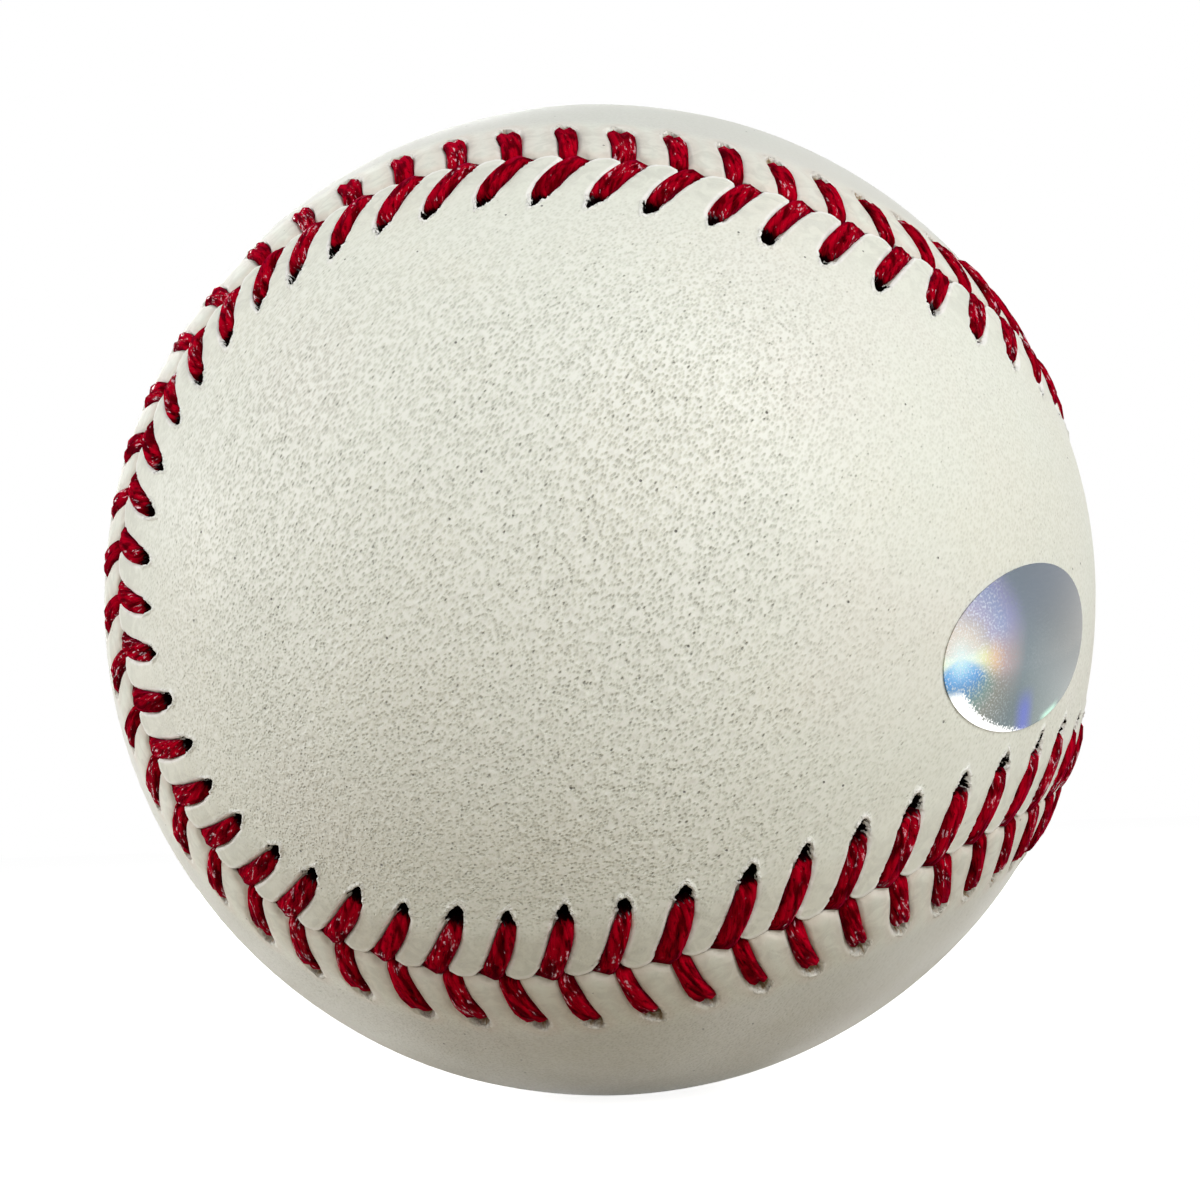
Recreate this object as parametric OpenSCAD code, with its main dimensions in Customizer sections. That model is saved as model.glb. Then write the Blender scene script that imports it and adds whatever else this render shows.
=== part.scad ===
// Regulation leather baseball, built up from the middle as the real one is wound and sewn.
// The origin is the ball's centre and +Z is up. All lengths are in millimetres.
// Panel A has its lobes at the front (-Y) and the back (+Y), and its waist crosses +X.
// Panel B has its lobes at the top and the bottom, and its waist crosses -X.

/* [Cushioned cork centre] */
// Diameter of the cork and rubber core
core_d = 20.64; // [18:0.02:24]
// Thickness of the two black rubber cups
black_t = 3.97; // [2:0.01:6]
// Height of the red ring between the cups' rims
washer_h = 0.8; // [0.3:0.1:3]
// Thickness of the red rubber skin
red_t = 2.38; // [1:0.01:4]

/* [Windings] */
// Thickness of the first winding, four-ply gray wool
gray_wool_t = 14.66; // [10:0.01:18]
// Thickness of the second winding, three-ply white wool
white_wool_t = 1.77; // [0.5:0.01:4]
// Thickness of the third winding, three-ply gray wool
outer_gray_t = 2.27; // [0.5:0.01:4]
// Thickness of the last winding, fine white finishing yarn
finishing_t = 0.5; // [0.2:0.01:1.5]
// Thickness of the rubber cement on the windings
cement_t = 0.1; // [0.05:0.01:0.3]

/* [Cover] */
// Thickness of the cowhide
leather_t = 1.2; // [0.8:0.05:2]
// Width of each panel's waist, from seam to seam
waist_w = 30; // [26:0.5:34]

/* [Stitching] */
// Number of V stitches along the seam
stitch_count = 108; // [88:4:116]
// Distance from the seam to each row of holes
hole_reach = 5.3; // [4:0.1:6.5]
// How far the point of each V runs ahead of its two holes
v_lead = 1.2; // [0:0.1:2]
// Width of the thread as it lies on the leather
thread_w = 1.5; // [0.8:0.1:1.8]
// Depth that the thread is pulled into the leather
thread_sink = 0.65; // [0.2:0.05:0.7]
// Distance from the seam to the inner end of each leg
leg_gap = 0.4; // [0.3:0.05:1]

/* [Foil sticker] */
// Length of the oval sticker
sticker_w = 18; // [8:0.5:20]
// Height of the oval sticker
sticker_h = 10.8; // [6:0.2:14]
// Thickness of the foil
sticker_t = 0.1; // [0.05:0.05:0.5]
// Angle round the ball from the front of panel A
sticker_turn = 46.5; // [40:0.5:130]
// Angle below the ball's middle
sticker_drop = 10.4; // [0:0.2:11]
// Tilt of the sticker's long way
sticker_tilt = 12.6; // [0:0.2:20]

/* [Hidden] */

// Radii, each layer seated on the one inside it
core_r = core_d / 2;
black_r = core_r + black_t;
red_r = black_r + red_t;
gray_wool_r = red_r + gray_wool_t;
white_wool_r = gray_wool_r + white_wool_t;
outer_gray_r = white_wool_r + outer_gray_t;
finishing_r = outer_gray_r + finishing_t;
cement_r = finishing_r + cement_t;
cover_r = cement_r + leather_t;

// Shares that each wave has in the seam's curve
third_share = 0.425;
fifth_share = 0.06;
sixth_share = 0.021;
// Share of a pitch that the first V stands past the seam's start
start_share = 0.75;
// Shares of the ball's radius where the panels' cutting wedges begin and end
wedge_in_share = 0.5;
wedge_out_share = 2;

// Points along the seam for its length, and flat steps along each panel's edge
seam_steps = 1440;
edge_steps = 216;
oval_steps = 72;
// Angle from the middle of a waist to its seam, and the wave that sets it
waist_half_angle = asin(waist_w / 2 / cover_r);
second_share = (1 - third_share + fifth_share) / tan(waist_half_angle) - sixth_share;

// One point of the seam on a ball of radius 1, for an angle t that runs once round the seam
function seam_point(t) =
    let (p = [second_share * cos(2 * t) + sixth_share * cos(6 * t),
              sin(t) + third_share * sin(3 * t) + fifth_share * sin(5 * t),
              cos(t) - third_share * cos(3 * t) + fifth_share * cos(5 * t)])
    p / norm(p);

// Pairs of the length run so far and the angle t, on a ball of radius 1
seam_points = [for (i = [0:seam_steps]) seam_point(i * 360 / seam_steps)];
seam_strides = [for (i = [1:seam_steps]) norm(seam_points[i] - seam_points[i - 1])];
seam_runs = [for (i = 0, run = 0; i <= seam_steps; run = run + (i < seam_steps ? seam_strides[i] : 0), i = i + 1)
             [run, i * 360 / seam_steps]];
seam_length = seam_runs[seam_steps][0];
pitch = seam_length / stitch_count;

// The seam's point and its direction at a length run along it
function wrap(run) = run - seam_length * floor(run / seam_length);
function seam_at(run) = seam_point(lookup(wrap(run), seam_runs));
function unit(v) = v / norm(v);
function along(run) = unit(seam_at(run + pitch / 2) - seam_at(run - pitch / 2));

// A point beside the seam: side 1 is panel A and side -1 is panel B
function beside(run, reach, side) =
    let (p = seam_at(run), out = unit(cross(along(run), p)), a = reach / cover_r * 180 / PI)
    p * cos(a) + side * out * sin(a);

// A hollow ball between two radii
module layer(outer_r, inner_r) {
    difference() {
        sphere(r = outer_r, $fn = 128);
        sphere(r = inner_r, $fn = 128);
    }
}

// A cup of the black rubber, cut to leave half the washer's height at its rim
module black_cup(up) {
    intersection() {
        layer(black_r, core_r);
        translate([-black_r, -black_r, up ? washer_h / 2 : -washer_h / 2 - black_r])
            cube([2 * black_r, 2 * black_r, black_r]);
    }
}

// A wedge from the ball's inside out past its skin, whose edge is the seam.
// Its faces cross from seam to seam in steps, from the tip of one lobe to the tip of the other.
module seam_wedge(tip, flip) {
    half = edge_steps / 2;
    ring = [for (i = [0:edge_steps - 1]) seam_point(i * 360 / edge_steps) * cover_r];
    points = concat(ring * wedge_in_share, ring * wedge_out_share);
    function left(i) = (tip + i) % edge_steps;
    function right(i) = (tip - i + edge_steps) % edge_steps;
    walls = [for (i = [0:edge_steps - 1], f = [0, 1])
             let (j = (i + 1) % edge_steps)
             f == 0 ? [i, j, j + edge_steps] : [i, j + edge_steps, i + edge_steps]];
    outer = [for (i = [0:half - 1], f = [0, 1])
             if (!(f == 0 && i == half - 1) && !(f == 1 && i == 0))
             f == 0 ? [left(i), left(i + 1), right(i + 1)] : [left(i), right(i + 1), right(i)]];
    skin = [for (f = outer) [f[2] + edge_steps, f[1] + edge_steps, f[0] + edge_steps]];
    faces = concat(walls, skin, outer);
    polyhedron(points, flip ? [for (f = faces) [f[2], f[1], f[0]]] : faces);
}

// One leather panel of the cover
module cover_panel(tip, flip) {
    intersection() {
        layer(cover_r, cement_r);
        seam_wedge(tip, flip);
    }
}

// One leg of a V, a round thread that runs over the leather from its hole to the seam
module leg(run, side) {
    hole = beside(run - v_lead / cover_r, hole_reach, side);
    end = beside(run, leg_gap, side);
    axis = unit(cross(hole, end));
    across = cross(axis, hole);
    multmatrix([[hole[0], across[0], axis[0], 0],
                [hole[1], across[1], axis[1], 0],
                [hole[2], across[2], axis[2], 0],
                [0, 0, 0, 1]])
        rotate_extrude(angle = acos(hole * end), $fn = 360)
            translate([cover_r + thread_w / 2 - thread_sink, 0])
                circle(d = thread_w, $fn = 32);
}

// All the legs on one panel, flat underneath where they bed on the leather
module stitch_row(side) {
    difference() {
        for (i = [0:stitch_count - 1])
            leg((i + start_share) * pitch, side);
        sphere(r = cover_r, $fn = 256);
    }
}

module cork_core() {
    color("#B98A5A") sphere(r = core_r, $fn = 96);
}

module upper_black_shell() {
    color("#26262A") black_cup(true);
}

module lower_black_shell() {
    color("#26262A") black_cup(false);
}

module red_washer() {
    color("#A8302A")
        intersection() {
            layer(black_r, core_r);
            cube([2 * black_r, 2 * black_r, washer_h], center = true);
        }
}

module red_rubber_layer() {
    color("#B23A32") layer(red_r, black_r);
}

module gray_wool_winding() {
    color("#8C8C8A") layer(gray_wool_r, red_r);
}

module white_wool_winding() {
    color("#E6E2D6") layer(white_wool_r, gray_wool_r);
}

module outer_gray_winding() {
    color("#8C8C8A") layer(outer_gray_r, white_wool_r);
}

module finishing_yarn() {
    color("#EFECE2") layer(finishing_r, outer_gray_r);
}

module cement_coat() {
    color("#D8C48E") layer(cement_r, finishing_r);
}

module cover_panel_a() {
    color("#E8E7DC") cover_panel(edge_steps * 3 / 4, false);
}

module cover_panel_b() {
    color("#E8E7DC") cover_panel(0, true);
}

module stitches_panel_a() {
    color("#A80F2C") stitch_row(1);
}

module stitches_panel_b() {
    color("#A80F2C") stitch_row(-1);
}

module foil_sticker() {
    color("#B9BEC8")
        intersection() {
            layer(cover_r + sticker_t, cover_r);
            rotate([0, 90 + sticker_drop, sticker_turn - 90])
                rotate([0, 0, sticker_tilt])
                    linear_extrude(height = cover_r * wedge_out_share)
                        polygon([for (i = [0:oval_steps - 1])
                                 [sticker_h / 2 * cos(i * 360 / oval_steps),
                                  sticker_w / 2 * sin(i * 360 / oval_steps)]]);
        }
}

cork_core();
upper_black_shell();
lower_black_shell();
red_washer();
red_rubber_layer();
gray_wool_winding();
white_wool_winding();
outer_gray_winding();
finishing_yarn();
cement_coat();
cover_panel_a();
cover_panel_b();
stitches_panel_a();
stitches_panel_b();
foil_sticker();
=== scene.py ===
import math
import bpy
import numpy as np
from mathutils import Matrix, Vector


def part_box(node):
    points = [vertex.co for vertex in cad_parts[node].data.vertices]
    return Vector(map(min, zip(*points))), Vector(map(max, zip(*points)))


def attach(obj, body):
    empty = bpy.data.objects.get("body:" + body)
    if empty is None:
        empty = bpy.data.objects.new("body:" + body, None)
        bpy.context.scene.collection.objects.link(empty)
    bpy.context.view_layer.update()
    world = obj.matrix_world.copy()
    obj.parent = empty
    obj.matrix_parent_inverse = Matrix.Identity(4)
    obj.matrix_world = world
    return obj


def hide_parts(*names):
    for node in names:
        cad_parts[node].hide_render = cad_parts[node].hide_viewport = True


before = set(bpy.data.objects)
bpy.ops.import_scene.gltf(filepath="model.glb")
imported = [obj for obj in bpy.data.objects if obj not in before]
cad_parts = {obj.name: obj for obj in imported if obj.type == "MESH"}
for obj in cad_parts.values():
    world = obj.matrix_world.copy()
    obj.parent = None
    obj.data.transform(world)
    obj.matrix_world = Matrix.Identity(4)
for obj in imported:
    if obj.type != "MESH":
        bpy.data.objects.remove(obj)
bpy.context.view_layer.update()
mm = 0.001
coverRadius = -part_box("cover_panel_b")[0].z  # outside of the leather
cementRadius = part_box("cement_coat")[1].z  # what the leather is glued to
print("frame loaded, the cover's radius is", round(coverRadius / mm, 2), "mm")


def hexColour(text):  # sRGB hex to the linear colour that a socket takes
    shares = [int(text[i:i + 2], 16) / 255 for i in (1, 3, 5)]
    return [s / 12.92 if s <= 0.04045 else ((s + 0.055) / 1.055) ** 2.4 for s in shares] + [1]


def addNode(tree, kind, inputs=None, **settings):  # one node with its settings, values and links
    node = tree.nodes.new("ShaderNode" + kind)
    for name, value in settings.items():
        setattr(node, name, value)
    for socket, value in (inputs or {}).items():
        if isinstance(value, bpy.types.Node):  # a node stands for the first output that it has in use
            value = next(output for output in value.outputs if output.enabled)
        if isinstance(value, bpy.types.NodeSocket):
            tree.links.new(value, node.inputs[socket])
        else:
            node.inputs[socket].default_value = value
    return node


# A Principled material, its tree and shader, and the place its patterns follow: the object's or an attribute
def startMaterial(name, values, attribute=None):
    material = bpy.data.materials.new(name)
    material.use_nodes = True
    tree = material.node_tree
    shader = tree.nodes["Principled BSDF"]
    for socket, value in values.items():
        shader.inputs[socket].default_value = value
    if attribute:
        return material, tree, shader, addNode(tree, "Attribute", attribute_name=attribute).outputs["Vector"]
    return material, tree, shader, addNode(tree, "TexCoord").outputs["Object"]


# How much of something shows: its parts multiplied. A part is a number, a node, a socket, or a value eased
# from one number to another, as (value, from, to), with what it gives at each end where that isn't 0 and 1
def shareOf(tree, *parts):
    share = 1.0
    for part in parts:
        if isinstance(part, tuple):
            value, low, high, atLow, atHigh = (*part, 0.0, 1.0)[:5]
            part = addNode(tree, "MapRange", {0: value, 1: low, 2: high, 3: atLow, 4: atHigh},
                           interpolation_type="SMOOTHSTEP")
        share = part if share == 1.0 else addNode(tree, "Math", {0: share, 1: part}, operation="MULTIPLY")
    return share


def layTones(tree, tones, ground, layers):  # tones laid one over another, each with the parts of its share
    colour = ground if isinstance(ground, bpy.types.NodeSocket) else hexColour(tones[ground])
    for tone, *parts in layers:
        over = hexColour(tones[tone]) if isinstance(tone, str) else tone
        # sockets 6 and 7 of a Mix node are its two colours, and its output 2 is the mixed one
        mixed = addNode(tree, "Mix", {0: shareOf(tree, *parts), 6: colour, 7: over}, data_type="RGBA")
        colour = mixed.outputs[2]
    return colour


# The colour of a surface, and one bump from its heights, each an amount and the parts it is multiplied by
def finishSurface(tree, shader, colour, strength, depth, heights):
    height = 0.0
    for amount, *parts in heights:
        share = shareOf(tree, *parts)
        height = addNode(tree, "Math", {0: share, 1: amount, 2: height}, operation="MULTIPLY_ADD")
    bump = addNode(tree, "Bump", {"Height": height, "Strength": strength, "Distance": depth})
    tree.links.new(colour, shader.inputs["Base Color"])
    tree.links.new(bump.outputs["Normal"], shader.inputs["Normal"])


# Seam: one closed curve, the same one that the solids are cut along
seam = {
    "waist": 30 * mm,  # across each panel's waist, from seam to seam
    "third": 0.425, "fifth": 0.06, "sixth": 0.021,  # shares of the waves in the curve
    "stitches": 108,  # Vs along it
    "start": 0.75,  # share of a pitch before the first V
    "steps": 14400,  # points that its length is measured on
}


def unit(vectors):
    return vectors / np.linalg.norm(vectors, axis=-1, keepdims=True)


def seamPoint(turn):  # unit vectors towards the seam, for angles that run once round it
    half = math.asin(seam["waist"] / 2 / coverRadius)
    second = (1 - seam["third"] + seam["fifth"]) / math.tan(half) - seam["sixth"]
    return unit(np.stack([
        second * np.cos(2 * turn) + seam["sixth"] * np.cos(6 * turn),
        np.sin(turn) + seam["third"] * np.sin(3 * turn) + seam["fifth"] * np.sin(5 * turn),
        np.cos(turn) - seam["third"] * np.cos(3 * turn) + seam["fifth"] * np.cos(5 * turn)], -1))


turnTable = np.linspace(0, 2 * math.pi, seam["steps"] + 1)
strides = np.linalg.norm(np.diff(seamPoint(turnTable), axis=0), axis=1)
runTable = np.append(0, np.cumsum(strides)) * coverRadius
seamLength = runTable[-1]
pitch = seamLength / seam["stitches"]
legRuns = (np.arange(seam["stitches"]) + seam["start"]) * pitch


def seamAt(run):
    return seamPoint(np.interp(run % seamLength, runTable, turnTable))


def beside(run, reach):  # unit vectors beside the seam: reach is positive on panel A, negative on panel B
    point = seamAt(run)
    along = seamAt(run + pitch / 2) - seamAt(run - pitch / 2)
    out = unit(np.cross(along, point))
    angle = np.asarray(reach / coverRadius)[..., None]
    return point * np.cos(angle) + out * np.sin(angle)


print("seam laid out,", round(seamLength / mm, 1), "mm long")

# Legs of the Vs, which run from under the leather, up through the hole and down to the seam. Each station is
# how far it is out from the seam, how far the thread's front and back edges are forward of the V's point, its
# top above the cover, how far its two strands part, as a share, and how much farther out its front edge is
# than its middle. The lengths are in mm
stitching = {
    "a": {"side": 1, "parting": 0.75, "hidden": (1.2, 3.7),
          "stations": [(4.45, -0.50, -1.50, -1.60, 0.6, 0), (4.74, -0.50, -1.60, -0.95, 1.0, 0),
                       (4.94, -0.44, -1.66, -0.18, 1.0, 0), (4.55, -0.26, -1.60, 0.22, 1.0, 0),
                       (3.70, 0.12, -1.40, 0.42, 0.9, 0), (2.70, 0.58, -1.04, 0.46, 0.7, 0),
                       (1.85, 0.95, -0.64, 0.45, 0.5, 0.05), (1.20, 1.27, -0.28, 0.40, 0.4, 0.14),
                       (0.60, 1.50, 0.07, 0.28, 0.3, 0.29), (0.04, 1.76, 0.54, 0.06, 0.2, 0.47),
                       (0.12, 2.26, 1.80, -0.25, 0.0, 0.14)]},
    "b": {"side": -1, "parting": 0.4, "hidden": (0.3, 2.3),
          "stations": [(5.50, -0.64, -1.56, -1.20, 0.4, 0), (5.08, -0.50, -1.66, -0.62, 0.8, 0),
                       (4.80, -0.30, -1.72, -0.05, 1.0, 0), (4.35, -0.04, -1.62, 0.28, 0.9, 0),
                       (3.50, 0.22, -1.34, 0.43, 0.8, 0), (2.50, 0.40, -1.04, 0.45, 0.6, 0),
                       (1.50, 0.52, -0.86, 0.40, 0.5, 0), (0.60, 0.62, -0.72, 0.33, 0.4, 0),
                       (0.10, 0.62, -0.66, 0.20, 0.3, 0), (-0.25, 0.56, -0.60, -0.14, 0.2, 0),
                       (-0.60, 0.45, -0.45, -0.55, 0.0, 0)]},
    # "parting" is how much painted shade lies between the strands. From the first to the second station of
    # "hidden" a thread comes out of the painted shade of its hole, and between those of "tail" it goes down
    # between the panels, under painted shade
    "tail": (8.0, 9.6),
    "lying": slice(8, 1, -1),  # the stations on top of the leather, from the seam to the hole
    "holeLine": 5.3 * mm,  # the even line that the holes stand on
    "holeScatter": 0.10 * mm, "seamScatter": 0.08 * mm,  # how far the two ends of a leg stray
    "widthScatter": 0.07, "heightScatter": 0.04 * mm, "splitScatter": (0.6, 1.3),
    "thickness": 0.68 * mm,
    # the section of a leg: across in halves of its width, below its top in thicknesses, and the painted shade
    # on it, darkest low on its flanks
    "section": [(1.00, -0.90, 1.0), (0.90, -0.30, 0.35), (0.48, 0.0, 0.0), (0.0, -0.26, 0.0),
                (-0.48, 0.0, 0.0), (-0.90, -0.30, 0.35), (-1.00, -0.90, 1.0)],
    "wander": 0.18, "wanderTurn": 2.4,  # the parting wanders, in shares of half the width, by part of a wave
    "girth": 3.6,  # half widths round the section, for the pattern on the thread
    "apart": 7.3 * mm,  # from one leg to the next in that pattern
}


def layLegs(panel, seed):  # where each of a panel's legs runs, with a sewer's small unevenness
    rng = np.random.default_rng(seed)
    count = seam["stitches"]
    side = stitching[panel]["side"]
    reach, front, back, top, split, slant = np.array(stitching[panel]["stations"]).T
    reach, front, back, top, slant = (length * mm for length in (reach, front, back, top, slant))
    near = np.clip(reach / stitching["holeLine"], 0, 1)  # 0 at the seam, 1 at the hole
    holeShift = rng.normal(0, stitching["holeScatter"], (count, 2, 1))
    seamShift = rng.normal(0, stitching["seamScatter"], (count, 1))
    halfWidth = (front - back) / 2 * (1 + rng.normal(0, stitching["widthScatter"], (count, 1)))
    middle = (front + back) / 2 + holeShift[:, 0] * near + seamShift * (1 - near)
    out = reach + holeShift[:, 1] * near
    run = legRuns[:, None] + middle
    direction = beside(run, side * out)
    edge = beside(run + halfWidth, side * (out + slant)) - beside(run - halfWidth, side * (out - slant))
    along = unit(np.gradient(direction, axis=1))
    square = edge - (edge * along).sum(-1, keepdims=True) * along
    return {
        "forward": middle, "reach": out, "direction": direction,
        "edge": edge,  # from the back edge to the front one
        "half": np.linalg.norm(square, axis=-1) * coverRadius / 2,  # half the width, square to the thread
        "top": top + rng.normal(0, stitching["heightScatter"], (count, 1)),
        "split": np.tile(split, (count, 1)) * rng.uniform(*stitching["splitScatter"], (count, 1)),
        "twist": rng.uniform(-1, 1, (count, 1)),
        "shade": rng.uniform(0, 1, count),
    }


legsA, legsB = layLegs("a", 11), layLegs("b", 23)


def storeValues(piece, name, values, kind="FLOAT"):
    attribute = piece.data.attributes.new(name, kind, "POINT")
    field = "value" if kind == "FLOAT" else "vector"
    attribute.data.foreach_set(field, np.asarray(values, np.float32).ravel())


def selectOnly(*pieces):  # nothing else stays selected, and the first is the active one
    bpy.ops.object.select_all(action="DESELECT")
    for piece in pieces:
        piece.select_set(True)
    bpy.context.view_layer.objects.active = pieces[0] if pieces else None


# Leather: heights are measured from the cover's radius, and 1 is panel A's side and -1 panel B's
leather = {
    "weltHeight": 0.10 * mm,  # how far the stitches pull the leather up beside the seam
    "welt": (3.6 * mm, 7.0 * mm),  # where the welt starts to fall, and where it has gone
    "edgeRound": {1: 0.24 * mm, -1: 1.1 * mm},  # A's cut edge is crisp and lies over B's, which dips
    "edgeDrop": {1: 0.20 * mm, -1: 0.38 * mm},
    # the threads gather the seam into waves: how far a low point lies ahead of a V, the rise, and half a wave
    "waveAhead": -1.0 * mm, "waveRise": 0.52 * mm, "waveHalf": 1.0 * mm, "waveTop": 0.80 * mm,
    "waveRound": 2.4,  # 2 is a round wave, and more is one with a flatter bottom
    "waveEnd": 2.6 * mm,
    # panel B's edge follows under the tongues and hangs lower at the feet of panel A's legs: mm along, mm up
    "underWave": [(-1.9, -0.28), (-1.5, -0.10), (-0.9, 0.12), (-0.5, 0.09), (0, 0), (0.5, 0.10), (0.8, 0.18),
                  (1.1, 0.0), (1.4, -0.35), (1.65, -0.38), (1.9, -0.28)],
    "footRoom": 0.16 * mm,  # panel B's leather meets the feet of panel A's legs this far in from their flanks
    "shoulder": 0.17 * mm, "grooveDepth": 0.34 * mm,  # the leather hugs each thread with a round shoulder
    "groove": (5.2 * mm, 5.9 * mm),  # where the grooves fade out
    "puff": 0.07 * mm, "puffWidth": 0.9 * mm,  # each tongue between two threads swells
    "tongueScatter": 0.03 * mm,
    "tongue": (3.5 * mm, 5.5 * mm),  # where the tongues end
    "ridge": {1: 0.06 * mm, -1: 0.0}, "ridgeFrom": 0.14 * mm, "ridgeHalf": 0.09 * mm,  # beside A's threads
    "holeOut": {1: 1.12 * mm, -1: 0.78 * mm}, "holeIn": 0.36 * mm, "holeHalf": 0.52 * mm,
    "holeReach": 5.02 * mm, "holeDepth": {1: 1.10 * mm, -1: 0.75 * mm},
    "holeWall": (0.78, 1.0),  # from its floor to its edge, in shares of its width
    "holePoint": (1.1, 1.7),  # 2 is a round end, 1 a sharp one
    "holeScatter": (0.85, 1.15),
    "holeWaves": ((3, 0.08), (7, 0.06)),  # how often and how far its edge waves
    # a rim round each hole, all but its seamward side, with parts of it torn away
    "lip": (1.17, 0.15), "lipFrom": (-0.4 * mm, 0.2 * mm), "lipHeight": {1: 0.17 * mm, -1: 0.07 * mm},
    "lipTorn": 0.45,
    # the windings show a little through the leather, in waves this high and long that cross each other
    "waves": 7, "unevenness": 0.025 * mm / 3, "waveLength": 13 * mm, "waveScatter": (0.7, 1.5),
    # rows of the mesh out from the seam, closest at the rolled edge and round the holes
    "rows": np.concatenate([[0.03, 0.10, 0.20, 0.34, 0.52, 0.75], np.arange(1.0, 4.5, 0.25),
                            np.arange(4.5, 6.45, 0.15), [6.6, 6.9, 7.2]]) * mm,
    "columns": 20, "crowding": 0.45,  # columns to a pitch, and how much they crowd round the thread
    "footEnd": 0.55 * mm, "footForward": 0.68 * mm,  # nearer the seam a column runs no farther forward
    "straighten": (5.7 * mm, 7.2 * mm), "straightShift": 0.25,  # and where the columns stand then, in pitches
    # the plain part and the flesh side are coarser: their first two rings, and their rows to the middle line
    "grainRings": (7.5 * mm, 8.1 * mm), "grainRows": 24,
    "fleshRings": (1.2 * mm, 2.6 * mm), "fleshRows": 9,
    "middleStraight": 70, "middleEnd": 112,  # degrees from the waist, where the lobe begins and the line ends
    "far": {"threadGap": 5 * mm, "seamGap": 20 * mm, "holeEdge": 4.0},  # what the plain part's vertices hold
}
columnPlaces = np.arange(leather["columns"]) / leather["columns"] * 2 - 1  # 0 at a thread, 1 halfway on


def easeShare(low, high, value):
    share = np.clip((value - low) / (high - low), 0, 1)
    return share * share * (3 - 2 * share)


def rollShare(gap, radius):  # a quarter round: 1 at the bottom, where the gap is 0, and 0 on the flat
    share = 1 - np.clip(gap / radius, 0, 1)
    return 1 - np.sqrt(np.clip(1 - share * share, 0, 1))


def unevenness(directions):
    rng = np.random.default_rng(5)
    total = np.zeros(directions.shape[:-1])
    for wave in range(leather["waves"]):
        heading = unit(rng.normal(size=3)) * rng.uniform(*leather["waveScatter"])
        heading *= 2 * math.pi / leather["waveLength"]
        total += np.sin(directions @ heading * coverRadius + rng.uniform(0, 2 * math.pi))
    return total * leather["unevenness"]


def gapToThreads(points, legs):  # distance from the nearest thread's flank, of points[row, leg, column]
    nearest = np.full(points.shape[:-1], 1.0)
    for shift in (-1, 0, 1):  # its own leg and the two beside it
        route = np.roll(legs["direction"], shift, 0) * coverRadius
        half = np.roll(legs["half"], shift, 0)
        for k in range(1, route.shape[1] - 1):
            start, step = route[:, k], route[:, k + 1] - route[:, k]
            away = points - start[None, :, None]
            share = (away * step[None, :, None]).sum(-1) / (step * step).sum(-1)[None, :, None]
            share = np.clip(share, 0, 1)
            distance = np.linalg.norm(away - share[..., None] * step[None, :, None], axis=-1)
            width = half[None, :, None, k] * (1 - share) + half[None, :, None, k + 1] * share
            nearest = np.minimum(nearest, distance - width)
    return nearest


def holeShape(points, legs, side, seed):  # distance from each hole's middle, 1 at its edge, and its torn rim
    rng = np.random.default_rng(seed)
    count = seam["stitches"]
    reach = leather["holeReach"] + legs["reach"][:, 1] - legs["reach"][:, 1].mean()  # strays as its leg does
    centre = beside(legRuns + legs["forward"][:, 1], side * reach)
    outward = unit(legs["direction"][:, 2] - legs["direction"][:, 4])
    across = np.cross(centre, outward)
    away = points - (centre * coverRadius)[None, :, None]
    along = (away * outward[None, :, None]).sum(-1)
    aside = (away * across[None, :, None]).sum(-1)
    size = rng.uniform(*leather["holeScatter"], (1, count, 1))
    length = np.where(along > 0, leather["holeOut"][side], leather["holeIn"]) * size
    angle = np.arctan2(aside, along)
    phase = rng.uniform(0, 2 * math.pi, (4, 1, count, 1))
    power = np.where(along > 0, rng.uniform(*leather["holePoint"], (1, count, 1)), 2.0)
    lengthwise, crosswise = np.abs(along / length), np.abs(aside / leather["holeHalf"] / size)
    edge = (lengthwise ** power + crosswise ** power) ** (1 / power)
    for (often, by), start in zip(leather["holeWaves"], phase):
        edge += by * np.sin(often * angle + start)
    middle, half = leather["lip"]
    rim = np.exp(-((edge - middle) / half) ** 2) * easeShare(*leather["lipFrom"], along)
    torn = 1 - np.sin(5 * angle + phase[2]) * np.sin(2 * angle + phase[3])
    return edge, rim * (1 - leather["lipTorn"] * torn)


def seamWave(run, side):  # how far a panel's edge is gathered towards panel A
    ahead = (run - legRuns[0] - leather["waveAhead"] + pitch / 2) % pitch - pitch / 2
    if side < 0:
        along, up = np.array(leather["underWave"]).T * mm
        return np.interp(ahead, along, up)
    wave = leather["waveRise"] * (np.abs(ahead) / leather["waveHalf"]) ** leather["waveRound"]
    return np.minimum(wave, leather["waveTop"])


def layColumns(side, legs):  # directions of the fine mesh, whose columns bend with the threads and straighten
    reach = leather["rows"]
    straight = easeShare(*leather["straighten"], reach)[:, None]
    lying = stitching["lying"]
    forward = np.stack([np.interp(reach, out[lying], ahead[lying])
                        for out, ahead in zip(legs["reach"], legs["forward"])], 1)
    atFoot = reach[:, None] < leather["footEnd"]
    forward = np.where(atFoot, np.minimum(forward, leather["footForward"]), forward)
    middle = legRuns + forward * (1 - straight) - leather["straightShift"] * pitch * straight
    before = np.concatenate([middle[:, -1:] - seamLength, middle[:, :-1]], 1)
    after = np.concatenate([middle[:, 1:], middle[:, :1] + seamLength], 1)
    crowd = (leather["crowding"] * (1 - straight))[..., None]
    bent = columnPlaces * (1 - crowd) + columnPlaces ** 3 * crowd
    room = np.where(columnPlaces < 0, (middle - before)[..., None], (after - middle)[..., None])
    run = middle[..., None] + bent * room / 2
    out = reach[:, None, None]
    return beside(run, side * out + seamWave(run, side) * (1 - easeShare(0, leather["waveEnd"], out)))


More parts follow.
